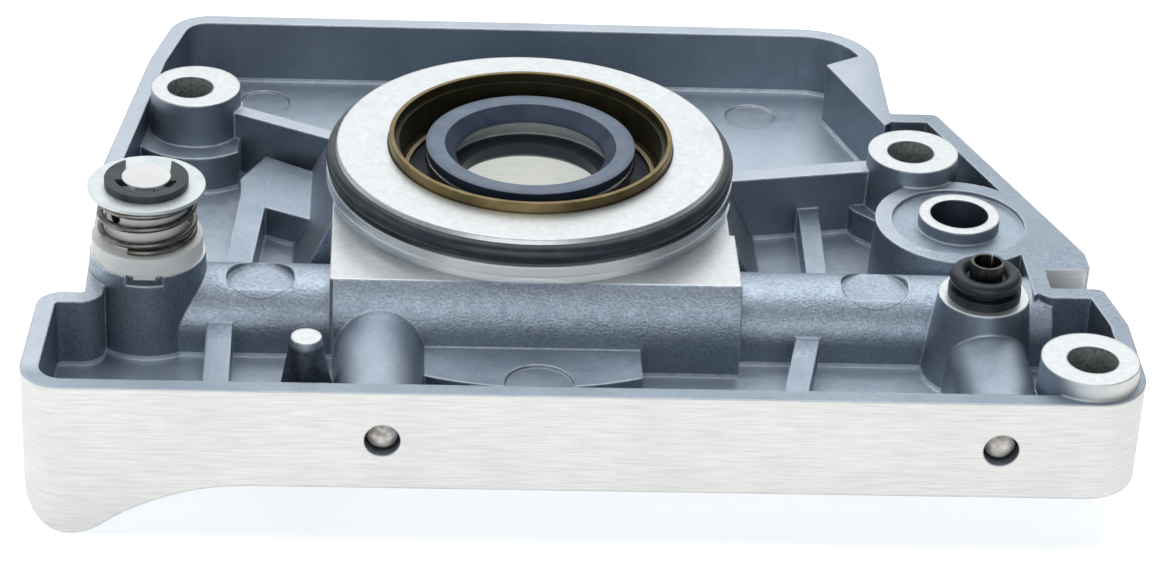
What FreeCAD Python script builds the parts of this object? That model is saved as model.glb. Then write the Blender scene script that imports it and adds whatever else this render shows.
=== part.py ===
"""Chainsaw oil pump: cast housing, crankshaft seal, worm-driven plunger, stroke adjuster and oil port.

Millimetres. Z is the crankshaft axis and points into the crankcase. Z = 0 is the crankcase joint face,
which is the machined top of the bolt bosses. X runs along the plunger barrel, and -Y is the ground
front wall. The origin is the crank axis on the joint face.
"""
import FreeCAD
import Part
import math
import os
from FreeCAD import Vector

# Crankshaft side: what the pump has to fit
CRANK_D = 17.0                      # journal that the seal runs on
BOLT_HOLE_D = 5.3                   # clearance for M5 screws
REGISTER_D = 42.3                   # raised ring that enters the crankcase bore

# Levels above and below the joint face
RIM_Z = -2.0                        # top of the outer wall
RIB_Z = -5.8                        # top of the stepped block and of the rib beside it
LOW_RIB_Z = -6.3                    # top of the low ribs on the right
FLOOR_Z = -9.8                      # inside of the pan
BASE_Z = -13.3                      # underside of the pan
LOBE_Z = -19.4                      # lowest point of the lobe
RING_Z = 5.0                        # top of the seal carrier ring

# Outline of the pan
LEFT_X = -52.4
FRONT_Y = -40.7
BACK_Y = 44.3
WALL = 1.9                          # thickness of the outer wall
STEP_X = -46.9                      # left wall beside the adjuster
STEP_Y = -21.8                      # back of the front left corner
RIGHT_BACK_X = 42.8                 # right wall behind the bolt boss
RIGHT_SHOULDER = (60.5, -9.6)       # bend of the right wall beside the port
SHOULDER_Y = 22.5
NOTCH_X = 55.6                      # bottom of the notch at the end of the barrel
NOTCH_W = 4.0
NOTCH_SHIFT = 2.8                   # back of the notch behind the barrel's axis

# Bolt bosses: hole, then how far the cast boss sits off its hole
BOSS_R = 5.1
BOLTS = {"a": (-38.4, 21.5, 0.6, 0.35), "b": (43.5, 9.4, 0.3, 0.2), "d": (57.0, -35.0, -0.2, 0.2)}
FRONT_CORNER_R = 5.9                # right front corner, round the bolt boss
BASE_STEP_R = 8.0                   # wider foot of the left bolt boss
BASE_STEP_Z = -5.2

# Seal carrier
BLOCK_HALF = 21.4                   # half width of the square machined top
BLOCK_FOOT = 26.0                   # half width of the block's sides at the floor
BLOCK_SIDE_Y = -9.0                 # where the block's sloping sides begin
BLOCK_BACK_Y = 12.0                 # back of the block, behind which the neck is round
NECK_R = 21.0
NECK_FOOT_R = 22.3                  # foot of the hollow curve under the flange
FLANGE_Z = 1.1
FLANGE_T = 1.2
RING_CHAMFER = 0.9
FLANGE_STEP = 1.15                  # how far flange and O-ring stand out past the register
O_RING_D = 2.2                      # section
SEAL_D = 31.0
SEAL_H = 7.0
SEAL_PROUD = 1.1                    # how far the seal stands out of the ring
SEAL_WALL = 0.55
SEAL_CUP_H = 4.4                    # depth of the open side of the seal
LIP_TOP_R = 11.45
LIP_MOUTH_R = 9.4
LIP_BITE = 0.35                     # how much the free lip is smaller than the journal
LIP_TOP_DROP = 1.05                 # from the case's top down to the lip's top
LIP_DROP = 1.5                      # from the lip's top down to its sealing edge
LIP_LAND = 0.4
CASE_HOLE_R = 11.4
DUST_LIP_R = 7.7
DUST_LAND = 1.4
GARTER_D = 1.2                      # section of the garter spring
GARTER_DROP = 2.75                  # from the case's top down to the garter spring
WORM_CHAMBER_R = 13.0

# Plunger barrel
BARREL_Y = -16.0
BARREL_Z = -7.6
BARREL_R = 5.4                      # cast outside of the two side parts
MID_BARREL_R = 8.0                  # cast outside in front of the worm chamber
MID_BARREL_X0 = -21.05
MID_BARREL_X1 = 21.95
JOURNAL_R = 3.8                     # large part of the plunger, with the teeth
PISTON_R = 2.5
RUNNING_FIT = 0.03                  # radial gap of what turns or slides in a bore
TEETH = 12
TOOTH_HALF = 6.0                    # half length of the toothed part
TOOTH_GAP_R = 0.62
TOOTH_LEAN = 12.0
PISTON_START = 9.0
PISTON_END = 43.5
NOSE_L = 4.0                        # slimmer nose that runs on the adjuster
NOSE_R = 1.8
NOSE_BORE_R = 2.2
NOSE_GAP = 0.06                     # between the nose and the cam
STROKE = 1.28                       # slope of the nose, which makes the pumping stroke
SEAT_T = 0.6                        # washer between plunger and spring
RETURN_WIRE_R = 0.3
RETURN_TURNS = 4
PLUG_R = 3.0
PLUG_START = 51.2

# Oil passages
PORT_X = 47.5                       # all right hand passages lie in this plane
PASSAGE_R = 1.5
LEFT_PASSAGE_X = -15.6
BALL_R = 1.85
BALL_RECESS = 0.35
LEFT_DOME = (-0.5, 4.75, -2.6)       # shift in X from the passage, radius, top
RIGHT_DOME = (0.4, 4.3, -2.1)
PORT_C_Y = -3.0
PORT_C_TOP = -1.0
PORT_C_R = 4.47
PORT_C_BORE_R = 3.2
PORT_C_DEPTH = 8.2
PAD_R = 9.2
PAD_RECESS_R = 7.3
PAD_RECESS = 0.5

# Rubber port seal and its tube
GROMMET_Y = -22.1
GROMMET_BOSS_R = 4.8
GROMMET_BOSS_DRAFT = 0.11
GROMMET_R = 3.8                     # round top ring
GROMMET_RING_R = 0.85               # section radius of the top ring
GROMMET_FOOT_R = 3.85
GROMMET_FOOT_T = 0.95
GROMMET_BORE_R = 3.0
GROMMET_TOP = 2.9
GROMMET_DEPTH = 3.2
SLEEVE_R = 1.75
SLEEVE_WALL = 0.3
SLEEVE_TOP = 4.0
SLEEVE_BOTTOM = -5.6

# Stroke adjuster
ADJ_X = -40.7
ADJ_Y = BARREL_Y
ADJ_BOSS_R = 6.1
SHAFT_R = 4.4
STEM_R = 4.2                        # shaft above the collar
COLLAR_R = 5.83
COLLAR_T = 2.0
COLLAR_TAB_W = 2.3
COLLAR_TAB_H = 0.5
COLLAR_NOTCH_H = 1.0
COLLAR_NOTCH_GAP = 0.75
WASHER_R = 6.15
WASHER_T = 0.4
WASHER_Z = 7.5                      # underside
CLIP_R = 4.4
CLIP_T = 0.8
CLIP_INNER_R = 3.3
CLIP_OPEN = 4.8                     # width of the clip's mouth
PRONG_W = 1.9
STUB_R = 2.55                       # shaft above the washer
GROOVE_R = 2.0
STUB_TOP = 8.85
ADJ_WIRE_R = 0.36
ADJ_COIL_R = 4.9
ADJ_FREE_TURNS = 1.75
ADJ_COIL_START = -110.0
CAM_R = 4.2                         # most proud side of the spiral cam
CAM_THROW = 1.24                    # how much the cam falls over half a turn
CAM_LOW_R = 1.6                     # slim neck below the cam, clear of the nose
CAM_STEP = 0.3                      # height of the cam's lower edge above the plunger's axis
CAM_ROOM = 5.4                      # height of the groove that the cam stands in
SHAFT_FOOT_R = 5.2
SHAFT_FOOT_T = 1.0
SLOT_W = 1.2
SLOT_DEPTH = 0.8
SHAFT_SEAL_D = 1.3                  # section of the two shaft O-rings
CROSS_HOLE_R = 0.7
CROSS_HOLE_Z = 5.4
CROSS_HOLE_AT = -138.0

# Small inside details
GUIDE_POST = (-23.5, -33.1)
POST_TOP_R = 1.57
POST_FOOT_R = 3.4
DRAFT = 0.035                       # growth of a cast post's radius per millimetre down
EJECTOR_R = 3.6
EJECTOR_Z = -3.0
SHELF_Z = -6.6                      # shelf in front of the middle barrel
SHELF_MARK = (0.55, -30.8)
SHELF_MARK_DEPTH = 0.35


def cyl(x, y, z0, z1, r):
    """Upright cylinder between two levels."""
    return Part.makeCylinder(r, z1 - z0, Vector(x, y, z0))


def post(x, y, z0, z1, r_top, draft=DRAFT):
    """Upright cast post that widens downward by the casting draft."""
    return Part.makeCone(r_top + draft * (z1 - z0), r_top, z1 - z0, Vector(x, y, z0))


def along_x(x0, x1, y, z, r):
    return Part.makeCylinder(r, x1 - x0, Vector(x0, y, z), Vector(1, 0, 0))


def along_y(y0, y1, x, z, r):
    return Part.makeCylinder(r, y1 - y0, Vector(x, y0, z), Vector(0, 1, 0))


def slab(x0, x1, y0, y1, z0, z1):
    return Part.makeBox(x1 - x0, y1 - y0, z1 - z0, Vector(x0, y0, z0))


def fuse(shapes):
    """One solid from several, with leftover seams removed."""
    return shapes[0].multiFuse(shapes[1:]).removeSplitter()


def rounded(corners, z):
    """Closed wire through (x, y, radius) corners at level z."""
    ends = []
    count = len(corners)
    for i, (x, y, r) in enumerate(corners):
        here = Vector(x, y, z)
        back = Vector(corners[i - 1][0], corners[i - 1][1], z) - here
        ahead = Vector(corners[(i + 1) % count][0], corners[(i + 1) % count][1], z) - here
        back.normalize()
        ahead.normalize()
        half = back.getAngle(ahead) / 2
        run = r / math.tan(half)
        middle = (back + ahead).normalize() * (r / math.sin(half) - r)
        ends.append((here + back * run, here + middle, here + ahead * run))
    edges = []
    for i, (start, middle, end) in enumerate(ends):
        edges.append(Part.Arc(start, middle, end).toShape())
        edges.append(Part.makeLine(end, ends[(i + 1) % count][0]))
    return Part.Wire(edges)


def prism(wire, z1):
    """Solid from a level wire up to level z1."""
    face = Part.Face(wire)
    return face.extrude(Vector(0, 0, z1 - wire.BoundBox.ZMin))


def bar(x0, y0, x1, y1, width, z0, z1):
    """Straight rib with a flat top between two plan points."""
    run = math.hypot(x1 - x0, y1 - y0)
    rib = Part.makeBox(run, width, z1 - z0, Vector(0, -width / 2, z0))
    rib.rotate(Vector(0, 0, 0), Vector(0, 0, 1), math.degrees(math.atan2(y1 - y0, x1 - x0)))
    rib.translate(Vector(x0, y0, 0))
    return rib


def poly(points, z0, z1):
    """Prism over straight plan points."""
    wire = Part.makePolygon([Vector(x, y, z0) for x, y in points + points[:1]])
    return prism(wire, z1)


def revolve(profile):
    """Solid of revolution about the crank axis from (radius, z) points."""
    wire = Part.makePolygon([Vector(r, 0, z) for r, z in profile + profile[:1]])
    return Part.Face(wire).revolve(Vector(0, 0, 0), Vector(0, 0, 1), 360)


def right_x():
    """Right wall, set by the front bolt boss."""
    return BOLTS["d"][0] + BOLTS["d"][2] + FRONT_CORNER_R


def outline():
    """Outer plan of the pan as (x, y, corner radius)."""
    notch_back = BARREL_Y + NOTCH_SHIFT
    notch_front = notch_back - NOTCH_W
    return [
        (LEFT_X, FRONT_Y, 4.4),
        (right_x(), FRONT_Y, FRONT_CORNER_R),
        (right_x(), -24.5, 3.0),
        (61.2, notch_front, 1.0),
        (NOTCH_X, notch_front, 0.3),
        (NOTCH_X, notch_back, 0.3),
        (RIGHT_SHOULDER[0] + 0.1, notch_back, 0.6),
        (*RIGHT_SHOULDER, 1.5),
        (48.2, SHOULDER_Y, 0.8),
        (RIGHT_BACK_X, SHOULDER_Y, 0.5),
        (RIGHT_BACK_X, BACK_Y, 8.6),
        (-41.0, BACK_Y, 5.0),
        (-43.8, 32.2, 8.0),
        (-47.2, 6.0, 8.0),
        (STEP_X, STEP_Y, 0.4),
        (-51.6, STEP_Y, 2.6),
    ]


def pan():
    """Floor and outer wall."""
    outer = prism(rounded(outline(), BASE_Z), RIM_Z)
    inner_wire = rounded(outline(), FLOOR_Z).makeOffset2D(-WALL)
    inner = prism(inner_wire, RIM_Z + 1)
    return outer, inner


def lobe():
    """Lug under the front left corner, with its round foot seen from the front."""
    depth = 12.0
    foot_r = 5.0
    foot_x = LEFT_X + foot_r
    z_mid = LOBE_Z + foot_r
    start = Vector(LEFT_X, FRONT_Y, BASE_Z + 1)
    side = Vector(LEFT_X, FRONT_Y, z_mid)
    low = Vector(foot_x + 1.4, FRONT_Y, LOBE_Z + 0.2)
    blend = Vector(-38.6, FRONT_Y, -15.2)
    end = Vector(-29.0, FRONT_Y, BASE_Z)
    top = Vector(-29.0, FRONT_Y, BASE_Z + 1)
    foot = Part.Arc(side, Vector(foot_x - 1.7, FRONT_Y, z_mid - 4.65), low).toShape()
    sweep = Part.BSplineCurve()
    sweep.interpolate([low, Vector(-43.2, FRONT_Y, -17.6), blend, end],
                      InitialTangent=Vector(1, 0, 0.25), FinalTangent=Vector(1, 0, 0.02))
    edges = [Part.makeLine(start, side), foot, sweep.toShape()]
    edges += Part.makePolygon([end, top, start]).Edges
    lug = Part.Face(Part.Wire(edges)).extrude(Vector(0, depth, 0))
    return lug.common(prism(rounded(outline(), LOBE_Z - 1), RIM_Z))


def bolt_bosses():
    shapes = []
    for x, y, dx, dy in BOLTS.values():
        shapes.append(post(x + dx, y + dy, BASE_Z, 0, BOSS_R))
    x, y, dx, dy = BOLTS["a"]
    foot = cyl(x + dx, y + dy, BASE_Z, BASE_STEP_Z, BASE_STEP_R)
    shapes.append(foot.common(slab(LEFT_X, x + dx + BOSS_R, FRONT_Y, BACK_Y, BASE_Z, 0)))
    return shapes


def seal_block():
    """Machined block, square in front, with sloping sides, and the ring that enters the crankcase."""
    shapes = [slab(-BLOCK_HALF, BLOCK_HALF, -BLOCK_HALF, BLOCK_BACK_Y, FLOOR_Z, 0)]
    sections = []
    for half, back, z in ((BLOCK_FOOT, BLOCK_BACK_Y + 2, FLOOR_Z), (BLOCK_HALF, BLOCK_BACK_Y, 0)):
        corners = [(-half, BLOCK_SIDE_Y), (half, BLOCK_SIDE_Y), (half, back), (-half, back)]
        sections.append(Part.makePolygon([Vector(*p, z) for p in corners + corners[:1]]))
    shapes.append(Part.makeLoft(sections, True, True))
    shapes.append(neck())
    shapes.append(cyl(0, 0, FLANGE_Z, FLANGE_Z + FLANGE_T, REGISTER_D / 2 + FLANGE_STEP))
    shapes.append(register())
    return shapes


def neck():
    """Ring's neck, with a hollow curve from the flange out to the block's top and a round back."""
    reach = NECK_FOOT_R - NECK_R
    middle = Vector(NECK_FOOT_R - 0.71 * reach, 0, 0.29 * FLANGE_Z)
    curve = Part.Arc(Vector(NECK_R, 0, FLANGE_Z), middle, Vector(NECK_FOOT_R, 0, 0)).toShape()
    floor_r = NECK_FOOT_R - DRAFT * FLOOR_Z
    points = [Vector(NECK_FOOT_R, 0, 0), Vector(floor_r, 0, FLOOR_Z), Vector(0, 0, FLOOR_Z),
              Vector(0, 0, FLANGE_Z), Vector(NECK_R, 0, FLANGE_Z)]
    wire = Part.Wire([curve] + Part.makePolygon(points).Edges)
    solid = Part.Face(wire).revolve(Vector(0, 0, 0), Vector(0, 0, 1), 360)
    return solid.common(slab(-BLOCK_HALF, MID_BARREL_X1, -BLOCK_HALF, 2 * NECK_R, FLOOR_Z, FLANGE_Z))


def register():
    """Top of the carrier ring with the O-ring's groove and the lead-in chamfer."""
    z = FLANGE_Z + FLANGE_T
    groove_r = REGISTER_D / 2 + FLANGE_STEP - O_RING_D
    return revolve([(0, z), (groove_r, z), (groove_r, z + O_RING_D / 2 + 0.2),
                    (REGISTER_D / 2 + 0.35, RING_Z - RING_CHAMFER), (REGISTER_D / 2, RING_Z), (0, RING_Z)])


def barrels():
    """Cast outside of the plunger barrel: two slim ends and the large middle."""
    shapes = []
    for x0, x1 in ((ADJ_X, MID_BARREL_X0), (MID_BARREL_X1, NOTCH_X)):
        tube = along_x(x0, x1, BARREL_Y, BARREL_Z, BARREL_R)
        legs = slab(x0, x1, BARREL_Y - BARREL_R, BARREL_Y + BARREL_R, FLOOR_Z, BARREL_Z)
        shapes += [tube, legs]
    drop = math.sqrt(MID_BARREL_R ** 2 - (BLOCK_HALF + BARREL_Y) ** 2)
    middle = along_x(MID_BARREL_X0, MID_BARREL_X1, BARREL_Y, -drop, MID_BARREL_R)
    shapes.append(middle.common(slab(-BLOCK_FOOT, BLOCK_FOOT, FRONT_Y, 0, BASE_Z, 0)))
    shapes.append(slab(MID_BARREL_X0, MID_BARREL_X1, BARREL_Y - MID_BARREL_R, BLOCK_SIDE_Y, FLOOR_Z, -drop))
    return shapes


def dome(passage_x, form, y_back):
    """Cast hump over a passage drilled from the front wall, with drafted legs."""
    shift, r, top = form
    x = passage_x + shift
    z = top - r
    y_front = FRONT_Y + 0.5
    spread = 3 * DRAFT * (z - FLOOR_Z)
    legs = Part.makePolygon([Vector(x - r, y_front, z), Vector(x + r, y_front, z),
                             Vector(x + r + spread, y_front, FLOOR_Z), Vector(x - r - spread, y_front, FLOOR_Z),
                             Vector(x - r, y_front, z)])
    run = y_back - y_front
    return [along_y(y_front, y_back, x, z, r), Part.Face(legs).extrude(Vector(0, run, 0))]


def right_side():
    """Pad with its raised port boss, the port seal's boss and the solid corner beside them."""
    x = PORT_X
    shapes = [post(x, PORT_C_Y, BASE_Z, RIM_Z, PAD_R)]
    shapes.append(post(x, GROMMET_Y, FLOOR_Z - 1, 0, GROMMET_BOSS_R, GROMMET_BOSS_DRAFT))
    wall_x = RIGHT_SHOULDER[0]
    back = BARREL_Y + NOTCH_SHIFT
    corner = [(x + 5.9, 3.4), (x + 8.9, 1.0), RIGHT_SHOULDER, (wall_x, back), (NOTCH_X, back),
              (NOTCH_X, BARREL_Y - NOTCH_SHIFT / 2), (x + 6.1, BARREL_Y - BARREL_R / 2)]
    shapes.append(poly(corner, BASE_Z, RIM_Z))
    wall = RIGHT_BACK_X
    wedge = [(wall - 1, 38.0), (wall - 6.2, 34.8), (wall - 0.9, SHOULDER_Y - 2.9), (wall, SHOULDER_Y - 2)]
    shapes.append(poly(wedge, BASE_Z, RIM_Z))
    x, y = BOLTS["b"][:2]
    web = [(x - 6.7, y - 1.6), (x - 6.3, y - 2.6), (x - 1.9, y - 7.2), (x - 0.3, y - 4.6), (x - 3.9, y - 0.8)]
    shapes.append(poly(web, FLOOR_Z, LOW_RIB_Z))
    return shapes


def ribs():
    """Straight ribs, the stepped block left of the seal and the raised shelf in front of it."""
    front = FRONT_Y + WALL / 2
    shapes = [
        bar(-34.5, 20.9, -15.0, 10.6, 1.9, FLOOR_Z, RIM_Z),
        bar(21.0, 6.2, 40.0, 9.8, 2.5, FLOOR_Z, RIM_Z),
        bar(-33.0, BARREL_Y, -32.7, front, 2.7, FLOOR_Z, RIB_Z),
        bar(30.5, BARREL_Y, 25.6, front, 2.5, FLOOR_Z, LOW_RIB_Z),
        bar(31.4, BARREL_Y, 32.1, 8.5, 2.3, FLOOR_Z, LOW_RIB_Z),
        poly([(-33.4, BARREL_Y), (-32.0, 7.4), (-32.2, 10.4), (-29.5, 15.9), (-20.0, 9.9), (-20.0, -0.6),
              (-29.2, 4.0), (-30.6, BARREL_Y)], FLOOR_Z, RIB_Z),
    ]
    shelf = cyl(-0.3, 0, FLOOR_Z, SHELF_Z, 31.7)
    shelf = shelf.common(slab(-11.4, 11.4, -32, BARREL_Y, FLOOR_Z, SHELF_Z))
    shapes.append(shelf.cut(cyl(*SHELF_MARK, SHELF_Z - SHELF_MARK_DEPTH, SHELF_Z, EJECTOR_R)))
    shapes.append(cyl(*SHELF_MARK, FLOOR_Z, SHELF_Z - SHELF_MARK_DEPTH, EJECTOR_R))
    x, y = GUIDE_POST
    shapes.append(Part.makeCone(POST_FOOT_R, POST_TOP_R, -FLOOR_Z, Vector(x, y, FLOOR_Z)))
    return shapes


def ejector_marks():
    """Flat round marks that the ejector pins left on the slim barrel parts and on the floor."""
    cuts = [cyl(x, y, EJECTOR_Z, RIM_Z, EJECTOR_R) for x, y in ((-28.8, -17.2), (36.7, -16.6))]
    cuts += [cyl(x, y, FLOOR_Z - 0.25, FLOOR_Z, EJECTOR_R - 0.6) for x, y in ((-30.5, 37.0), (28.0, 36.0))]
    return Part.Compound(cuts)


def bores():
    """Everything drilled or turned out of the casting."""
    shapes = [cyl(x, y, LOBE_Z, 1, BOLT_HOLE_D / 2) for x, y, dx, dy in BOLTS.values()]
    seal_seat = RING_Z + SEAL_PROUD - SEAL_H
    shapes.append(cyl(0, 0, seal_seat, RING_Z + 1, SEAL_D / 2))
    shapes.append(cyl(0, 0, BASE_Z - 1, seal_seat, WORM_CHAMBER_R))
    shapes.append(along_x(ADJ_X, journal_start(), BARREL_Y, BARREL_Z, NOSE_BORE_R))
    step = journal_start() - CAM_THROW - 0.2
    shapes.append(along_x(step, PISTON_START + STROKE + 1, BARREL_Y, BARREL_Z, JOURNAL_R + RUNNING_FIT))
    shapes.append(along_x(TOOTH_HALF, NOTCH_X + 1, BARREL_Y, BARREL_Z, PISTON_R + RUNNING_FIT))
    shapes.append(along_x(PLUG_START, NOTCH_X + 1, BARREL_Y, BARREL_Z, PLUG_R))
    for x, y_end in ((LEFT_PASSAGE_X, BARREL_Y), (PORT_X, PORT_C_Y)):
        shapes.append(along_y(FRONT_Y - 1, y_end, x, BARREL_Z, PASSAGE_R))
        shapes.append(along_y(FRONT_Y - 1, FRONT_Y + BALL_RECESS + BALL_R, x, BARREL_Z, BALL_R))
        shapes.append(passage_ball(x))
    shapes.append(cyl(PORT_X, PORT_C_Y, PORT_C_TOP - PORT_C_DEPTH, 1, PORT_C_BORE_R))
    shapes.append(cyl(PORT_X, GROMMET_Y, BARREL_Z, 1, PASSAGE_R))
    shapes.append(cyl(PORT_X, GROMMET_Y, -GROMMET_DEPTH, 1, GROMMET_BORE_R))
    shapes.append(cyl(PORT_X, GROMMET_Y, SLEEVE_BOTTOM, 0, SLEEVE_R))
    shapes.append(cyl(ADJ_X, ADJ_Y, BASE_Z - 1, 1, SHAFT_R + RUNNING_FIT))
    shapes.append(cyl(ADJ_X, ADJ_Y, BASE_Z - 1, BASE_Z + SHAFT_FOOT_T, SHAFT_FOOT_R + 0.2))
    notch_w = COLLAR_TAB_W / 2 + COLLAR_NOTCH_GAP
    shapes.append(slab(ADJ_X - notch_w, ADJ_X + notch_w, ADJ_Y - ADJ_BOSS_R - 1, ADJ_Y + ADJ_BOSS_R + 1,
                       -COLLAR_NOTCH_H, 1))
    return shapes


def pump_housing():
    outer, inner = pan()
    shell = outer.cut(inner)
    cast = [shell, lobe()]
    cast += bolt_bosses()
    cast += seal_block()
    cast += barrels()
    cast += dome(LEFT_PASSAGE_X, LEFT_DOME, BARREL_Y)
    cast += dome(PORT_X, RIGHT_DOME, GROMMET_Y)
    cast += right_side()
    cast += ribs()
    cast.append(post(ADJ_X, ADJ_Y, BASE_Z, 0, ADJ_BOSS_R))
    body = cast[0].multiFuse(cast[1:])
    limit = prism(rounded(outline(), LOBE_Z), RING_Z)
    body = body.common(limit)
    body = body.cut(ejector_marks())
    body = body.cut(cyl(PORT_X, PORT_C_Y, RIM_Z - PAD_RECESS, 1, PAD_RECESS_R))
    body = body.fuse(cyl(PORT_X, PORT_C_Y, FLOOR_Z, PORT_C_TOP, PORT_C_R))
    for tool in bores():
        body = body.cut(tool)
    return body.removeSplitter()


def seal_case():
    """Pressed steel cup of the crank seal."""
    r = SEAL_D / 2
    top = RING_Z + SEAL_PROUD
    low = top - SEAL_H
    w = SEAL_WALL
    return revolve([(r, low + w), (r, top - 0.1), (r - 0.1, top), (r - w, top), (r - w, low + w),
                    (CASE_HOLE_R, low + w), (CASE_HOLE_R, low), (r - w, low)])


def seal_inner_cup():
    """Second cup that clamps the rubber inside the case."""
    w = SEAL_WALL
    r = SEAL_D / 2 - w
    top = RING_Z + SEAL_PROUD
    ledge = top - SEAL_CUP_H
    low = top - SEAL_H + w
    return revolve([(r, low), (r, top - 0.9), (r - w, top - 0.9), (r - w, ledge), (r - 1.6, ledge),
                    (r - 1.6, ledge - w), (r - w, ledge - w), (r - w, low)])


def seal_lip():
    """Moulded rubber with the sealing lip on top and the dust lip below."""
    top = RING_Z + SEAL_PROUD
    low = top - SEAL_H
    lip_top = top - LIP_TOP_DROP
    edge_z = lip_top - LIP_DROP
    edge_r = CRANK_D / 2 - LIP_BITE
    w = SEAL_WALL
    r_out = SEAL_D / 2 - 2 * w
    ledge = top - SEAL_CUP_H
    groove_z = edge_z - 0.4
    body = revolve([
        (LIP_MOUTH_R, lip_top), (LIP_TOP_R, lip_top), (LIP_TOP_R - 0.2, edge_z),
        (LIP_TOP_R - 0.9, groove_z - 0.8), (LIP_TOP_R - 1.1, ledge - w), (r_out, ledge - w),
        (r_out, low + w), (CASE_HOLE_R, low + w), (CASE_HOLE_R, low), (DUST_LIP_R + 0.5, low),
        (DUST_LIP_R, low + 0.5), (DUST_LIP_R, low + 0.5 + DUST_LAND),
        (DUST_LIP_R + 1.3, low + 0.7 + DUST_LAND), (edge_r + 1.3, edge_z - 2.1),
        (edge_r, edge_z - LIP_LAND / 2), (edge_r, edge_z + LIP_LAND / 2)])
    return body.cut(Part.makeTorus(garter_radius(), GARTER_D / 2, Vector(0, 0, garter_z())))


def garter_radius():
    return LIP_TOP_R - 0.5


def garter_z():
    return RING_Z + SEAL_PROUD - GARTER_DROP


def garter_spring():
    return Part.makeTorus(garter_radius(), GARTER_D / 2, Vector(0, 0, garter_z()))


def carrier_o_ring():
    """Ring that seals the carrier in the crankcase bore, in its groove."""
    middle_r = REGISTER_D / 2 + FLANGE_STEP - O_RING_D / 2
    ring = Part.makeTorus(middle_r, O_RING_D / 2, Vector(0, 0, FLANGE_Z + FLANGE_T + O_RING_D / 2))
    return ring.cut(register())


def spring(coil_r, wire_r, length, turns):
    """Upright coil spring from z = 0, its first and last turn closed and the turns between evenly spaced."""
    closed = 2 * wire_r + 0.02
    rise = (length - 2 * wire_r - 2 * closed) / turns
    total = turns + 2
    steps = int(8 * total)
    points = []
    for i in range(steps + 1):
        turn = total * i / steps
        open_turns = min(max(turn - 1, 0), turns)
        z = wire_r + closed * (turn - open_turns) + rise * open_turns
        angle = 2 * math.pi * turn
        points.append(Vector(coil_r * math.cos(angle), coil_r * math.sin(angle), z))
    curve = Part.BSplineCurve()
    curve.interpolate(points)
    circle = Part.makeCircle(wire_r, points[0], Vector(0, 1, 0))
    return Part.Wire(curve.toShape()).makePipeShell([Part.Wire(circle)], True, True)


def adjuster_shaft():
    """Nylon shaft: slotted foot below, eccentric groove at the plunger, clip stub on top."""
    foot_top = BASE_Z + SHAFT_FOOT_T
    x = ADJ_X
    y = ADJ_Y
    shaft = fuse([cyl(x, y, BASE_Z, COLLAR_T, SHAFT_R), cyl(x, y, BASE_Z, foot_top, SHAFT_FOOT_R),
                  cyl(x, y, COLLAR_T, WASHER_Z, STEM_R), cyl(x, y, WASHER_Z, STUB_TOP, STUB_R)])
    half = CAM_ROOM / 2
    ring = cyl(x, y, BARREL_Z - half, BARREL_Z + half, SHAFT_R + 1)
    low = cyl(x, y, BARREL_Z - half, BARREL_Z + CAM_STEP, CAM_LOW_R)
    shaft = shaft.cut(ring.cut(cam(BARREL_Z + CAM_STEP, BARREL_Z + half)).cut(low))
    clip_z = WASHER_Z + WASHER_T
    groove = cyl(x, y, clip_z, clip_z + CLIP_T, STUB_R + 1)
    shaft = shaft.cut(groove.cut(cyl(x, y, clip_z, clip_z + CLIP_T, GROOVE_R)))
    shaft = shaft.cut(slab(x - SHAFT_FOOT_R, x + SHAFT_FOOT_R, y - SLOT_W / 2, y + SLOT_W / 2,
                           BASE_Z - 1, BASE_Z + SLOT_DEPTH))
    half = SHAFT_SEAL_D / 2 + 0.1
    for z in shaft_seal_levels():
        ring = cyl(x, y, z - half, z + half, SHAFT_R + 1)
        shaft = shaft.cut(ring.cut(cyl(x, y, z - half, z + half, SHAFT_R - SHAFT_SEAL_D)))
    turn = math.radians(CROSS_HOLE_AT)
    way = Vector(math.cos(turn), math.sin(turn), 0)
    start = Vector(x, y, CROSS_HOLE_Z) + way * (STEM_R - 2)
    return shaft.cut(Part.makeCylinder(CROSS_HOLE_R, STEM_R, start, way))


def cam(z0, z1):
    """Heart-shaped cam whose radius falls evenly from its proud side over half a turn each way."""
    side = []
    for i in range(9):
        turn = math.pi * i / 8
        r = CAM_R - CAM_THROW * turn / math.pi
        side.append(Vector(ADJ_X + r * math.cos(turn), ADJ_Y + r * math.sin(turn), z0))
    curve = Part.BSplineCurve()
    curve.interpolate(side)
    half = curve.toShape()
    other = half.mirror(Vector(ADJ_X, ADJ_Y, z0), Vector(0, 1, 0))
    return prism(Part.Wire([half, other]), z1)


def shaft_seal_levels():
    """O-ring levels above and below the cam's groove."""
    upper = BARREL_Z + CAM_ROOM / 2 + SHAFT_SEAL_D
    lower = BARREL_Z - CAM_ROOM / 2 - 0.75 * SHAFT_SEAL_D
    return upper, lower


def shaft_o_ring(z):
    return Part.makeTorus(SHAFT_R - SHAFT_SEAL_D / 2, SHAFT_SEAL_D / 2, Vector(ADJ_X, ADJ_Y, z))


def adjuster_collar():
    """Nylon ring on top of the boss, held from turning by two tabs."""
    ring = cyl(ADJ_X, ADJ_Y, 0, COLLAR_T, COLLAR_R)
    half = COLLAR_TAB_W / 2
    reach = COLLAR_R - 0.2
    tabs = slab(ADJ_X - half, ADJ_X + half, ADJ_Y - reach, ADJ_Y + reach, -COLLAR_TAB_H, COLLAR_T)
    collar = fuse([ring, tabs])
    return collar.cut(cyl(ADJ_X, ADJ_Y, -COLLAR_TAB_H - 1, COLLAR_T + 1, SHAFT_R + RUNNING_FIT))


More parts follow.
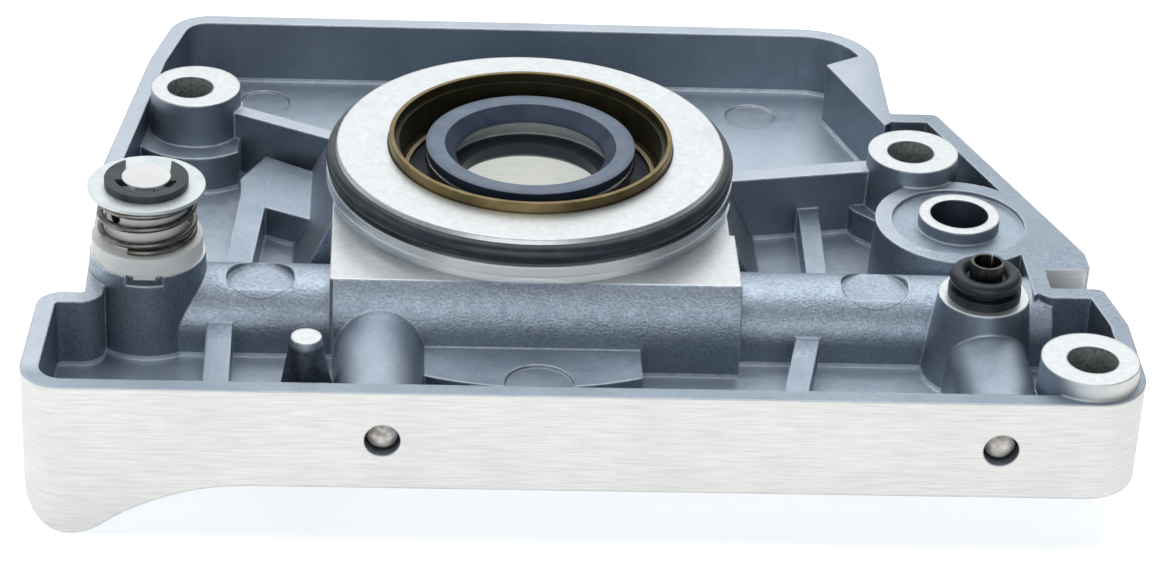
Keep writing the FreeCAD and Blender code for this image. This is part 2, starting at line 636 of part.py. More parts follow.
def adjuster_spring():
    coil = spring(ADJ_COIL_R, ADJ_WIRE_R, WASHER_Z - COLLAR_T, ADJ_FREE_TURNS)
    coil.rotate(Vector(0, 0, 0), Vector(0, 0, 1), ADJ_COIL_START)
    coil.translate(Vector(ADJ_X, ADJ_Y, COLLAR_T))
    return coil


def adjuster_washer():
    disc = cyl(ADJ_X, ADJ_Y, WASHER_Z, WASHER_Z + WASHER_T, WASHER_R)
    return disc.cut(cyl(ADJ_X, ADJ_Y, WASHER_Z - 1, WASHER_Z + 2, STUB_R + RUNNING_FIT))


def adjuster_e_clip():
    """E-clip with three prongs in the shaft's groove, open to the back."""
    z = WASHER_Z + WASHER_T
    top = z + CLIP_T
    disc = cyl(ADJ_X, ADJ_Y, z, top, CLIP_R)
    inside = cyl(ADJ_X, ADJ_Y, z, top, CLIP_INNER_R)
    jaw_front = ADJ_Y - PRONG_W / 3
    jaw_back = jaw_front + PRONG_W / 2
    jaws = inside.common(slab(ADJ_X - CLIP_R, ADJ_X + CLIP_R, jaw_front, ADJ_Y + CLIP_R, z, top))
    mouth = slab(ADJ_X - CLIP_OPEN / 2, ADJ_X + CLIP_OPEN / 2, jaw_back, ADJ_Y + CLIP_R + 1, z, top)
    prong = bar(ADJ_X, ADJ_Y - CLIP_INNER_R - 0.4, ADJ_X, ADJ_Y, PRONG_W, z, top)
    clip = fuse([disc.cut(inside), jaws, prong]).cut(mouth)
    return clip.cut(cyl(ADJ_X, ADJ_Y, z, top, GROOVE_R))


def nose_start():
    """Tip of the nose, just clear of the cam's proud side."""
    return ADJ_X + CAM_R + NOSE_GAP


def journal_start():
    """Shoulder behind the nose."""
    return nose_start() + NOSE_L


def sloped_nose():
    """Nose whose end slopes from the side at the cam to the far side."""
    x = nose_start()
    nose = along_x(x, journal_start(), BARREL_Y, BARREL_Z, NOSE_R)
    cut = Part.makeBox(6 * NOSE_R, 4 * NOSE_R, 8 * NOSE_R, Vector(-6 * NOSE_R, -2 * NOSE_R, -4 * NOSE_R))
    cut.rotate(Vector(0, 0, 0), Vector(0, 1, 0), -math.degrees(math.atan(STROKE / (2 * NOSE_R))))
    cut.translate(Vector(x, BARREL_Y, BARREL_Z + NOSE_R))
    return nose.cut(cut)


def plunger():
    """Steel plunger: sloped nose, journal with worm-wheel teeth, and the piston with its control flat."""
    body = fuse([
        sloped_nose(),
        along_x(journal_start(), PISTON_START, BARREL_Y, BARREL_Z, JOURNAL_R),
        along_x(PISTON_START, PISTON_END, BARREL_Y, BARREL_Z, PISTON_R)])
    for i in range(TEETH):
        body = body.cut(tooth_gap(360.0 * i / TEETH))
    relief = along_x(-TOOTH_HALF - 2, TOOTH_HALF + 2, BARREL_Y, BARREL_Z, JOURNAL_R + 1)
    relief = relief.cut(along_x(-TOOTH_HALF, TOOTH_HALF, BARREL_Y, BARREL_Z, JOURNAL_R + 2))
    root_r = JOURNAL_R - TOOTH_GAP_R - 0.1
    relief = relief.cut(along_x(-TOOTH_HALF - 3, TOOTH_HALF + 3, BARREL_Y, BARREL_Z, root_r))
    body = body.cut(relief)
    top = BARREL_Z + PISTON_R
    flat = slab(PISTON_END - 6, PISTON_END + 1, BARREL_Y - PISTON_R, BARREL_Y + PISTON_R, top - 1.1, top + 1)
    return body.cut(flat)


def tooth_gap(angle):
    """One slanted gap between two worm-wheel teeth."""
    gap = Part.makeCylinder(TOOTH_GAP_R, 2 * TOOTH_HALF + 2, Vector(-TOOTH_HALF - 1, 0, 0), Vector(1, 0, 0))
    gap.rotate(Vector(0, 0, 0), Vector(0, 0, 1), TOOTH_LEAN)
    gap.translate(Vector(0, 0, JOURNAL_R))
    gap.rotate(Vector(0, 0, 0), Vector(1, 0, 0), angle)
    gap.translate(Vector(0, BARREL_Y, BARREL_Z))
    return gap


def thrust_washer():
    return along_x(PISTON_END, PISTON_END + SEAT_T, BARREL_Y, BARREL_Z, PISTON_R - RUNNING_FIT)


def plunger_spring():
    start = PISTON_END + SEAT_T
    coil_r = PISTON_R - RETURN_WIRE_R - 0.2
    coil = spring(coil_r, RETURN_WIRE_R, PLUG_START - start, RETURN_TURNS)
    coil.rotate(Vector(0, 0, 0), Vector(0, 1, 0), 90)
    coil.translate(Vector(start, BARREL_Y, BARREL_Z))
    return coil


def barrel_plug():
    """Press-in plug at the notch, where the barrel was bored."""
    return along_x(PLUG_START, NOTCH_X - 0.3, BARREL_Y, BARREL_Z, PLUG_R)


def passage_ball(x):
    """Steel ball pressed into the front end of a drilled passage."""
    return Part.makeSphere(BALL_R, Vector(x, FRONT_Y + BALL_RECESS + BALL_R, BARREL_Z))


def port_grommet():
    """Rubber seal with a foot in its bore, two ribs and a hollow top that grips the tube."""
    x = PORT_X
    y = GROMMET_Y
    ring_z = GROMMET_TOP - GROMMET_RING_R
    middle_r = GROMMET_R - GROMMET_RING_R
    plug = cyl(x, y, -GROMMET_DEPTH, 0, GROMMET_BORE_R)
    foot = cyl(x, y, 0, GROMMET_FOOT_T, GROMMET_FOOT_R)
    waist = cyl(x, y, GROMMET_FOOT_T, ring_z, middle_r)
    ring = Part.makeTorus(middle_r, GROMMET_RING_R, Vector(x, y, ring_z))
    body = fuse([plug, foot, waist, ring])
    return body.cut(cyl(x, y, -GROMMET_DEPTH - 1, GROMMET_TOP + 1, SLEEVE_R))


def port_sleeve():
    """Rolled steel tube with its seam."""
    x = PORT_X
    y = GROMMET_Y
    tube = cyl(x, y, SLEEVE_BOTTOM, SLEEVE_TOP, SLEEVE_R)
    tube = tube.cut(cyl(x, y, SLEEVE_BOTTOM, SLEEVE_TOP, SLEEVE_R - SLEEVE_WALL))
    return tube.cut(slab(x + 0.6, x + 0.8, y, y + SLEEVE_R + 1, SLEEVE_BOTTOM, SLEEVE_TOP))


NODES = {
    "pump_housing": pump_housing,
    "seal_case": seal_case,
    "seal_inner_cup": seal_inner_cup,
    "seal_lip": seal_lip,
    "garter_spring": garter_spring,
    "carrier_o_ring": carrier_o_ring,
    "adjuster_shaft": adjuster_shaft,
    "adjuster_collar": adjuster_collar,
    "adjuster_spring": adjuster_spring,
    "adjuster_washer": adjuster_washer,
    "adjuster_e_clip": adjuster_e_clip,
    "shaft_upper_o_ring": lambda: shaft_o_ring(shaft_seal_levels()[0]),
    "shaft_lower_o_ring": lambda: shaft_o_ring(shaft_seal_levels()[1]),
    "plunger": plunger,
    "thrust_washer": thrust_washer,
    "plunger_spring": plunger_spring,
    "barrel_plug": barrel_plug,
    "passage_ball_left": lambda: passage_ball(LEFT_PASSAGE_X),
    "passage_ball_right": lambda: passage_ball(PORT_X),
    "port_grommet": port_grommet,
    "port_sleeve": port_sleeve,
}

os.makedirs("parts", exist_ok=True)
for name, make in NODES.items():
    make().exportStep("parts/" + name + ".step")
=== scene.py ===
"""Looks of the chainsaw oil pump: materials, floor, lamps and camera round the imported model."""
import math
from types import SimpleNamespace

import bpy
from mathutils import Matrix, Vector


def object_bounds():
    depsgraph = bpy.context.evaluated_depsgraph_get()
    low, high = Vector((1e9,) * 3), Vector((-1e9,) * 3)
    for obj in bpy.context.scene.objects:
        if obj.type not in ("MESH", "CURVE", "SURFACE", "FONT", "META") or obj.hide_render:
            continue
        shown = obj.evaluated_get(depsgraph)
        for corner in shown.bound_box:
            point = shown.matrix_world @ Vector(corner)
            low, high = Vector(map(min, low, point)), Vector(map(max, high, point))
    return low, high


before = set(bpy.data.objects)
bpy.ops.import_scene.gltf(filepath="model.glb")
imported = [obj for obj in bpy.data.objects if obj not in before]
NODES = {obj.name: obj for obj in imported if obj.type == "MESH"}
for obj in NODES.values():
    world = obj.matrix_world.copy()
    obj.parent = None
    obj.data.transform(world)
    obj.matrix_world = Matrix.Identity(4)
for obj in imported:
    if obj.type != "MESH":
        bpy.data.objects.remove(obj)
CAD_BOX = [list(corner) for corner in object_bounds()]

# Places in the part, in metres
MIDDLE = (0.0, 0.0)
BOLT_HOLES = ((-0.0384, 0.0215), (0.0435, 0.0094), (0.0570, -0.0350))
FRONT_BOSS = (0.0568, -0.0348)
PORT = (0.0475, -0.0030)
GUIDE_POST = (-0.0235, -0.0331)
EJECTOR_MARKS = ((0.0367, -0.0172), (-0.0288, -0.0172))
ADJUSTER = (-0.0407, -0.0160)
BARREL_Y = -0.0165
BALLS = (-0.0156, 0.0475)
PASSAGE_Z = -0.0076

# Radii and levels in metres
BOLT_HOLE_R = 0.00267
PORT_HOLE_R = 0.00322
PORT_FACE_R = 0.004575
CHAMBER_R = 0.01315
CASE_SEAM = (0.0150, 0.0157)
EJECTOR_LINE = (0.00350, 0.00366)
EJECTOR_STRETCH = 1.44              # the marks lie on the barrel's slope, so they look short in plan
POST_DIRT_R = 0.0033
CROSS_HOLE_R = 0.000775
CROSS_HOLE_Z = 0.0054
CROSS_HOLE_TURN = math.radians(-138)
BALL_EDGE_R = 0.00159
RIM_Z = -0.0020
PAN_FLOOR = (-0.0092, -0.0096)
WALL_FOOT_HIGHLIGHT = (-0.00985, -0.00930)
FLANGE = (0.00005, 0.0023)
FLANGE_EDGE = (0.00100, 0.00135)

# Where the ground faces begin
GROUND_FRONT_Y = -0.0404
GROUND_LEFT_X = -0.05135
GROUND_RIGHT_X = 0.06045
GROUND_NOTCH = (0.05565, -0.01345)
LEFT_CORNER = (-0.04795, -0.03625)
RIGHT_CORNER = (0.05675, -0.03475)
CORNER_BEYOND_R = 0.00565
FRONT_BOSS_R = 0.005025

# Smallest part of a normal that counts as straight along an axis, and how softly it begins
STRAIGHT = 0.935
STRAIGHT_SOFT = 0.035

# Middle of the left wall as x = slope * y + start, in three stretches, and of the slanted right wall
LEFT_WALL = ((0.231, -0.05034), (0.130, -0.04708), (0.0, -0.0463))
RIGHT_WALL_SLOPE = -0.383
RIGHT_WALL = 0.05592
RIGHT_WALL_BEHIND = (0.0419, 0.0220)
RIGHT_WALL_SHOULDER_X = 0.0596

# Camera, fitted to the photograph
PITCH = 0.53001
YAW = 0.06359
ROLL = 0.05091
LENS = 108.62
CAMERA_AT = (-0.01532, -0.338197, 0.185415)

# Name, place, size and watts of each lamp, which all aim at the middle of the part
LAMPS = (
    ("back", (0.0, 0.95, 0.55), (1.8, 0.8), 5.2),
    ("top", (0.0, 0.2, 0.8), (0.9, 0.7), 4.4),
    ("front", (-0.1, -0.8, 0.3), (0.9, 0.35), 2.6),
    ("left", (-0.7, 0.0, 0.3), (0.5, 0.4), 0.8),
)
WORLD_COLOR = (0.9, 0.95, 1.0, 1)
WORLD_STRENGTH = 0.15
FLOOR_HALF = 3.0
FLOOR_GAP = 0.0002
FLOOR_GLOW = 0.66                   # light that makes the floor white to the lens


class Shader:
    """One node material. Most methods add nodes and give back a socket."""

    def __init__(self, name):
        self.material = bpy.data.materials.new(name)
        self.material.use_nodes = True
        self.tree = self.material.node_tree
        self.tree.nodes.clear()
        self.bsdf = self.add("ShaderNodeBsdfPrincipled")
        self.output = self.add("ShaderNodeOutputMaterial")
        self.link(self.bsdf.outputs[0], self.output.inputs["Surface"])
        self.coords = self.add("ShaderNodeTexCoord").outputs["Object"]

    def add(self, kind):
        return self.tree.nodes.new(kind)

    def link(self, source, target):
        self.tree.links.new(source, target)

    def put(self, target, value):
        """Links a socket, or sets a plain value."""
        if isinstance(value, bpy.types.NodeSocket):
            self.link(value, target)
        elif isinstance(value, tuple) and len(value) == 3 and target.type == "RGBA":
            target.default_value = (*value, 1)
        else:
            target.default_value = value

    def math(self, operation, a, b=0.0):
        node = self.add("ShaderNodeMath")
        node.operation = operation
        self.put(node.inputs[0], a)
        self.put(node.inputs[1], b)
        return node.outputs[0]

    def product(self, first, *others):
        """All of several masks at once, or a mask times a number."""
        for other in others:
            first = self.math("MULTIPLY", first, other)
        return first

    def highest(self, first, *others):
        """Largest of several masks."""
        for other in others:
            first = self.math("MAXIMUM", first, other)
        return first

    def length(self, a, b):
        """Length of the vector (a, b)."""
        return self.math("SQRT", self.math("ADD", self.product(a, a), self.product(b, b)))

    def distance(self, x, y, place):
        """Plan distance from a point."""
        return self.length(self.math("SUBTRACT", x, place[0]), self.math("SUBTRACT", y, place[1]))

    def mix(self, factor, a, b):
        """Colour between a and b."""
        node = self.add("ShaderNodeMix")
        node.data_type = "RGBA"
        self.put(node.inputs[0], factor)
        self.put(node.inputs[6], a)
        self.put(node.inputs[7], b)
        return node.outputs[2]

    def blend(self, factor, a, b):
        """Number between a and b."""
        node = self.add("ShaderNodeMix")
        node.data_type = "FLOAT"
        self.put(node.inputs[0], factor)
        self.put(node.inputs[2], a)
        self.put(node.inputs[3], b)
        return node.outputs[0]

    def ramp(self, value, low, high):
        """0 at low and below, 1 at high and above."""
        node = self.add("ShaderNodeMapRange")
        self.put(node.inputs[0], value)
        node.inputs[1].default_value = low
        node.inputs[2].default_value = high
        return node.outputs[0]

    def above(self, value, limit, soft):
        return self.ramp(value, limit - soft, limit + soft)

    def below(self, value, limit, soft):
        return self.ramp(value, limit + soft, limit - soft)

    def band(self, value, low, high, soft=0.00003):
        """1 between two limits."""
        return self.product(self.above(value, low, soft), self.below(value, high, soft))

    def noise(self, scale, detail=3.0, stretch=(1, 1, 1), rough=0.55):
        """Noise with scale in features per metre."""
        mapping = self.add("ShaderNodeMapping")
        self.link(self.coords, mapping.inputs["Vector"])
        mapping.inputs["Scale"].default_value = stretch
        node = self.add("ShaderNodeTexNoise")
        self.link(mapping.outputs[0], node.inputs["Vector"])
        node.inputs["Scale"].default_value = scale
        node.inputs["Detail"].default_value = detail
        node.inputs["Roughness"].default_value = rough
        return node.outputs["Fac"]

    def clouds(self, noise, dark, light, low=0.3, high=0.7):
        """Colour that drifts from dark to light with a noise."""
        return self.mix(self.ramp(noise, low, high), dark, light)

    def axes(self, socket):
        node = self.add("ShaderNodeSeparateXYZ")
        self.link(socket, node.inputs[0])
        return node.outputs

    def normal(self):
        """The face's own normal in the part's frame."""
        return self.axes(self.add("ShaderNodeTexCoord").outputs["Normal"])

    def rounded_normal(self, radius):
        """Normal as if the edges were rounded."""
        bevel = self.add("ShaderNodeBevel")
        bevel.samples = 6
        bevel.inputs["Radius"].default_value = radius
        return bevel.outputs[0]

    def edges(self, radius):
        """1 on sharp edges and 0 on flat faces."""
        dot = self.add("ShaderNodeVectorMath")
        dot.operation = "DOT_PRODUCT"
        self.link(self.rounded_normal(radius), dot.inputs[0])
        self.link(self.add("ShaderNodeNewGeometry").outputs["Normal"], dot.inputs[1])
        return self.ramp(dot.outputs["Value"], 0.995, 0.85)

    def bump(self, height, strength, distance, radius=0.0):
        """Bump from a height, with edges rounded by a radius."""
        node = self.add("ShaderNodeBump")
        node.inputs["Strength"].default_value = strength
        node.inputs["Distance"].default_value = distance
        self.link(height, node.inputs["Height"])
        if radius:
            self.link(self.rounded_normal(radius), node.inputs["Normal"])
        self.link(node.outputs[0], self.bsdf.inputs["Normal"])

    def finish(self, color, rough, metal=0.0, **others):
        """Sets the surface and gives back the material."""
        self.put(self.bsdf.inputs["Base Color"], color)
        self.put(self.bsdf.inputs["Roughness"], rough)
        self.put(self.bsdf.inputs["Metallic"], metal)
        for name, value in others.items():
            self.put(self.bsdf.inputs[name.replace("_", " ")], value)
        return self.material


def casting(s):
    """Coordinates, normals, noises and general masks of the cast housing."""
    x, y, z = s.axes(s.coords)
    nx, ny, nz = s.normal()
    steep = s.math("ABSOLUTE", nz)
    coarse = s.noise(800, 3)
    near_barrel = s.math("ABSOLUTE", s.math("SUBTRACT", y, BARREL_Y))
    return SimpleNamespace(
        x=x, y=y, z=z, nx=nx, ny=ny, nz=nz,
        from_middle=s.distance(x, y, MIDDLE),
        up=s.above(nz, STRAIGHT, STRAIGHT_SOFT),
        side=s.below(steep, 0.4, 0.1),
        upright=s.ramp(steep, 0.75, 0.15),
        barrel=s.product(s.below(near_barrel, 0.0083, 0.0005), s.above(z, -0.0094, 0.0004)),
        flange=s.band(z, *FLANGE),
        # ahead is 1 near the front and back of the ring, where the flange is painted lighter.
        ahead=s.ramp(s.math("ABSOLUTE", x), 0.0140, 0.0085),
        grain=s.noise(2400, 4),
        specks=s.noise(4200, 4, (0.7, 1, 1)),
        coarse=coarse,
        patches=s.ramp(coarse, 0.3, 0.6),
    )


def ground_walls(s, f):
    """Outer faces of the front wall, its corners, the side walls beside them and the notch's far side."""
    forward = s.below(f.ny, -STRAIGHT, STRAIGHT_SOFT)
    leftward = s.below(f.nx, -STRAIGHT, STRAIGHT_SOFT)
    outward = s.above(s.math("SUBTRACT", s.math("ABSOLUTE", f.nx), f.ny), 0.8, 0.1)
    from_boss = s.distance(f.x, f.y, FRONT_BOSS)
    front = s.product(forward, s.below(f.y, GROUND_FRONT_Y, 0.0001))
    left = s.product(leftward, s.below(f.x, GROUND_LEFT_X, 0.00015))
    right = s.product(
        s.above(f.nx, 0.55, 0.05), s.above(f.x, GROUND_RIGHT_X, 0.00015), s.below(f.ny, 0.35, 0.05))
    notch = s.product(
        forward, s.above(f.x, GROUND_NOTCH[0], 0.00005), s.above(f.y, GROUND_NOTCH[1], 0.00005))
    left_corner = s.product(
        outward, s.below(f.nx, 0.025, 0.075),
        s.below(f.x, LEFT_CORNER[0], 0.00015), s.below(f.y, LEFT_CORNER[1], 0.00015))
    right_corner = s.product(
        s.above(from_boss, CORNER_BEYOND_R, 0.00005),
        s.above(f.x, RIGHT_CORNER[0], 0.00015), s.below(f.y, RIGHT_CORNER[1], 0.00015))
    boss = s.product(
        s.above(from_boss, FRONT_BOSS_R, 0.000025), s.above(f.z, RIM_Z - 0.000025, 0.000025),
        s.above(f.x, 0.056, 0.0035), s.below(f.y, -0.03675, 0.00075))
    return s.highest(front, left, right, notch, left_corner, right_corner, boss)


def outer_sides(s, f):
    """Outer faces of the left and right walls."""
    soft = 0.0001
    left = [s.below(s.math("SUBTRACT", f.x, s.product(f.y, slope)), start, soft)
            for slope, start in LEFT_WALL]
    slant = s.above(s.math("SUBTRACT", f.x, s.product(f.y, RIGHT_WALL_SLOPE)), RIGHT_WALL, soft)
    behind = s.product(s.above(f.x, RIGHT_WALL_BEHIND[0], soft), s.above(f.y, RIGHT_WALL_BEHIND[1], soft))
    right = s.highest(slant, behind, s.above(f.x, RIGHT_WALL_SHOULDER_X, soft))
    return s.highest(s.product(s.highest(*left), s.below(f.nx, -0.075, 0.025)),
                     s.product(right, s.above(f.nx, 0.075, 0.025)))


def ejector_lines(s, f):
    """Lower edges of the ejector marks on the barrel's front."""
    lines = []
    for place in EJECTOR_MARKS:
        along = s.math("SUBTRACT", f.x, place[0])
        down = s.product(s.math("SUBTRACT", f.y, place[1]), EJECTOR_STRETCH)
        lines.append(s.band(s.length(along, down), *EJECTOR_LINE))
    return s.product(s.highest(*lines), s.above(f.z, -0.0061, 0.0001), s.above(f.nz, 0.3, 0.1),
                     s.below(f.y, -0.01735, 0.00015))


def skin_color(s, f, shaded_bores):
    """Cast skin: clouds, flecks on the barrel, painted light on the pan floor, painted shade on steep
    faces, painted light and shade on the rim, lighter edges from wear and painted highlight, a painted
    highlight along the wall feet, dirty post, painted shade in the bolt bores and the oil hole.
    """
    skin = s.clouds(s.noise(130, 5, rough=0.65), (0.30, 0.365, 0.435), (0.42, 0.49, 0.565), 0.32, 0.68)
    fleck = s.clouds(f.specks, (0.27, 0.335, 0.425), (0.60, 0.675, 0.77), 0.35, 0.7)
    skin = s.mix(s.blend(f.barrel, 0.22, 0.6), skin, fleck)
    # Painted light: faces turned up at the pan floor's level are coloured paler, as if lit from above.
    floor = s.product(f.up, s.ramp(f.z, *PAN_FLOOR))
    skin = s.mix(s.product(floor, 0.5), skin, (0.66, 0.74, 0.83))
    # Painted shade: steep faces are darkened by their normal.
    skin = s.mix(s.product(f.upright, 0.40), skin, (0.11, 0.135, 0.165))
    rim = s.product(f.up, s.band(f.z, RIM_Z - 0.00005, RIM_Z + 0.00005))
    # Painted light on the far part of the rim and painted shade on its near part.
    far_rim_light = s.product(rim, s.ramp(f.x, 0.046, 0.040), s.ramp(f.y, -0.038, -0.036))
    near_rim_shade = s.math("SUBTRACT", rim, far_rim_light)
    skin = s.mix(s.product(far_rim_light, 0.3), skin, (0.72, 0.76, 0.79))
    skin = s.mix(s.product(near_rim_shade, 0.35), skin, (0.20, 0.24, 0.28))
    # Lighter edges: partly wear, partly a painted highlight, which also falls on inner corners.
    wear_and_edge_highlight = s.product(s.edges(0.00045), s.blend(f.patches, 0.35, 0.85))
    skin = s.mix(wear_and_edge_highlight, skin, (0.74, 0.80, 0.86))
    inside = s.math("SUBTRACT", 1.0, outer_sides(s, f))
    # Painted highlight: a bright line along the feet of the inner walls.
    foot_highlight = s.product(f.side, s.band(f.z, *WALL_FOOT_HIGHLIGHT), s.below(f.ny, 0.25, 0.05), inside)
    skin = s.mix(s.product(foot_highlight, s.blend(f.patches, 0.6, 0.95)), skin, (0.90, 0.95, 1.0))
    skin = s.mix(s.product(ejector_lines(s, f), 0.5), skin, (0.10, 0.12, 0.15))
    from_post = s.distance(f.x, f.y, GUIDE_POST)
    post = s.product(s.below(from_post, POST_DIRT_R, 0.0003), s.below(f.z, -0.00075, 0.00025))
    skin = s.mix(s.product(post, s.blend(f.patches, 0.6, 0.95)), skin, (0.04, 0.05, 0.06))
    # Painted shade: the bolt bores are coloured a darker grey.
    skin = s.mix(shaded_bores, skin, s.clouds(f.grain, (0.25, 0.28, 0.28), (0.46, 0.51, 0.50)))
    # Painted shade: the wall of the oil hole is coloured darker.
    oil_hole_shade = s.product(s.below(s.distance(f.x, f.y, PORT), PORT_HOLE_R, 0.00001), f.side)
    return s.mix(oil_hole_shade, skin, (0.14, 0.18, 0.23))


def bright_color(s, f, walls, ring, lit_chamber):
    """Machined metal: turned faces, hollow flange painted lighter at the front and back with a painted
    highlight on its edge, seam round the seal case, brushed walls, and the wall of the big middle bore
    painted near-white cream as lit from below.
    """
    bright = s.clouds(s.noise(1500, 3), (0.64, 0.67, 0.68), (0.74, 0.77, 0.78))
    scuffs = s.ramp(s.noise(170, 5), 0.60, 0.75)
    bright = s.mix(s.product(scuffs, 0.35), bright, (0.46, 0.50, 0.54))
    chamfer = s.product(s.above(f.z, 0.00375, 0.00005), f.side)
    bright = s.mix(s.product(chamfer, 0.6), bright, (0.30, 0.33, 0.36))
    # Painted light: the flange is coloured near-white at the front and back and darker at its sides.
    bright = s.mix(f.flange, bright, s.mix(f.ahead, (0.62, 0.68, 0.74), (0.93, 0.95, 0.97)))
    # Painted highlight: a white line along the flange's bottom edge.
    edge = s.product(s.band(f.z, *FLANGE_EDGE), s.math("SUBTRACT", 1.0, f.up))
    bright = s.mix(edge, bright, (0.99, 0.99, 0.99))
    seam = s.product(s.band(f.from_middle, *CASE_SEAM), ring)
    bright = s.mix(s.product(seam, 0.8), bright, (0.045, 0.045, 0.045))
    streaks = s.noise(5600, 5, (0.045, 0.045, 1))
    ticks = s.ramp(s.noise(4200, 2, (0.07, 0.07, 1)), 0.64, 0.74)
    shade = s.ramp(s.noise(90, 3), 0.4, 0.7)
    wall = s.clouds(streaks, (0.70, 0.70, 0.675), (0.87, 0.87, 0.85))
    wall = s.mix(s.product(ticks, 0.3), wall, (0.42, 0.43, 0.42))
    wall = s.mix(s.product(shade, 0.25), wall, (0.60, 0.62, 0.60))
    bright = s.mix(walls, bright, wall)
    # Painted light: the wall of the middle bore is coloured near-white cream, as lit from below.
    return s.mix(lit_chamber, bright, s.clouds(streaks, (0.86, 0.87, 0.80), (0.95, 0.95, 0.90), 0.35, 0.65))


def cast_metal():
    """Die casting: blue-grey skin, with joint faces and the front wall machined bright."""
    s = Shader("cast_housing")
    f = casting(s)
    joint = s.product(f.up, s.band(f.z, -0.00005, 0.0055))
    port = s.product(f.up, s.band(f.z, -0.00105, -0.0009),
                     s.below(s.distance(f.x, f.y, PORT), PORT_FACE_R, 0.000025))
    ring = s.above(f.z, 0.00003, 0.00001)
    walls = s.product(ground_walls(s, f), f.side)
    lit_chamber = s.product(s.below(f.from_middle, CHAMBER_R, 0.00005), f.side, s.below(f.z, -0.00091, 0.00001))
    machined = s.highest(joint, port, walls, ring, lit_chamber)
    holes = [s.below(s.distance(f.x, f.y, place), BOLT_HOLE_R, 0.00001) for place in BOLT_HOLES]
    shaded_bores = s.product(s.highest(*holes), f.side)
    color = s.mix(machined, skin_color(s, f, shaded_bores), bright_color(s, f, walls, ring, lit_chamber))
    rough = s.blend(machined, s.blend(s.ramp(f.coarse, 0.3, 0.7), 0.42, 0.52), 0.38)
    rough = s.blend(walls, rough, 0.5)
    rough = s.blend(f.flange, rough, 0.28)
    rough = s.blend(shaded_bores, rough, 0.8)
    pits = s.math("ADD", s.blend(f.barrel, f.grain, f.specks), f.coarse)
    depth = s.blend(machined, s.blend(f.barrel, 0.35, 0.9), 0.06)
    s.bump(s.product(pits, depth), 0.5, 0.00013, 0.00035)
    metallic = s.blend(machined, 0.95, s.blend(walls, 0.9, 0.7))
    return s.finish(color, rough, s.blend(s.product(f.flange, f.ahead), metallic, 0.1))


def metal(name, dark, light, rough, scale=600, stretch=(1, 1, 1), metal_part=1.0):
    """Plain metal with fine grain."""
    s = Shader(name)
    grain = s.ramp(s.noise(scale, 4, stretch), 0.3, 0.7)
    s.bump(s.noise(scale * 4, 3, stretch), 0.15, 0.00003, 0.0001)
    return s.finish(s.mix(grain, dark, light), s.blend(grain, rough, rough + 0.12), metal_part)


def case_metal():
    """Yellow passivated steel, dark brown inside the seal."""
    s = Shader("seal_case")
    x, y, z = s.axes(s.coords)
    grain = s.noise(500, 4)
    gold = s.clouds(grain, (0.165, 0.125, 0.055), (0.260, 0.200, 0.098))
    mottle = s.clouds(grain, (0.010, 0.009, 0.002), (0.026, 0.023, 0.006))
    inside = s.product(s.below(s.distance(x, y, MIDDLE), 0.015025, 0.000025), s.below(z, 0.00595, 0.00005))
    s.bump(grain, 0.15, 0.00003, 0.0001)
    return s.finish(s.mix(inside, gold, mottle), s.blend(inside, 0.36, 0.6), s.blend(inside, 1.0, 0.3))


def cup_metal():
    """Inner cup: dark brown steel with a gold rim."""
    s = Shader("seal_inner_cup")
    x, y, z = s.axes(s.coords)
    grain = s.noise(500, 4)
    brown = s.clouds(grain, (0.010, 0.009, 0.002), (0.028, 0.024, 0.007))
    gold = s.clouds(grain, (0.42, 0.34, 0.21), (0.56, 0.47, 0.31))
    rim = s.product(s.below(s.distance(x, y, MIDDLE), 0.013825, 0.000025), s.above(z, 0.001665, 0.000015))
    s.bump(grain, 0.15, 0.00003, 0.0001)
    return s.finish(s.mix(rim, brown, gold), 0.5, s.blend(rim, 0.3, 0.9))


def lip_rubber():
    """Blue-grey rubber with a painted light top that fades to painted shade at its outer edge, painted
    shade at its bottom, and a light grey wall between its two lips.
    """
    s = Shader("lip_rubber")
    x, y, z = s.axes(s.coords)
    from_middle = s.distance(x, y, MIDDLE)
    bloom = s.ramp(s.noise(500, 4), 0.35, 0.75)
    dark = s.mix(bloom, (0.022, 0.038, 0.072), (0.042, 0.064, 0.108))
    painted_top_light = s.mix(bloom, (0.105, 0.152, 0.222), (0.160, 0.212, 0.292))
    wall = s.mix(bloom, (0.36, 0.39, 0.39), (0.52, 0.55, 0.54))
    lower_shade = s.mix(bloom, (0.010, 0.016, 0.028), (0.020, 0.028, 0.044))
    # Painted light: the top is coloured paler, fading to painted shade towards its outer edge.
    painted_edge_falloff = s.blend(s.ramp(from_middle, 0.0115, 0.0107), 0.45, 1.0)
    top = s.product(s.above(s.normal()[2], 0.875, 0.075), s.above(z, 0.004925, 0.000025), painted_edge_falloff)
    between = s.product(s.below(from_middle, 0.00995, 0.00005), s.band(z, 0.00135, 0.00333))
    color = s.mix(top, dark, painted_top_light)
    # Painted shade: the rubber below 1.35 mm is darker.
    color = s.mix(s.below(z, 0.00135, 0.00001), color, lower_shade)
    color = s.mix(between, color, wall)
    s.bump(s.noise(5000, 3), 0.2, 0.00004, 0.0002)
    return s.finish(color, 0.42)


def garter_wire():
    """Fine coils of the garter spring, all the way round, with a painted highlight on each coil's crest."""
    s = Shader("garter_wire")
    x, y, _ = s.axes(s.coords)
    coils = s.math("SINE", s.product(s.math("ARCTAN2", y, x), 230.0))
    s.bump(coils, 0.9, 0.00012)
    # Painted highlight: the colour turns light on each coil's crest and dark between.
    return s.finish(s.clouds(coils, (0.10, 0.10, 0.10), (0.66, 0.67, 0.67), -0.6, 0.4), 0.28, 1.0)


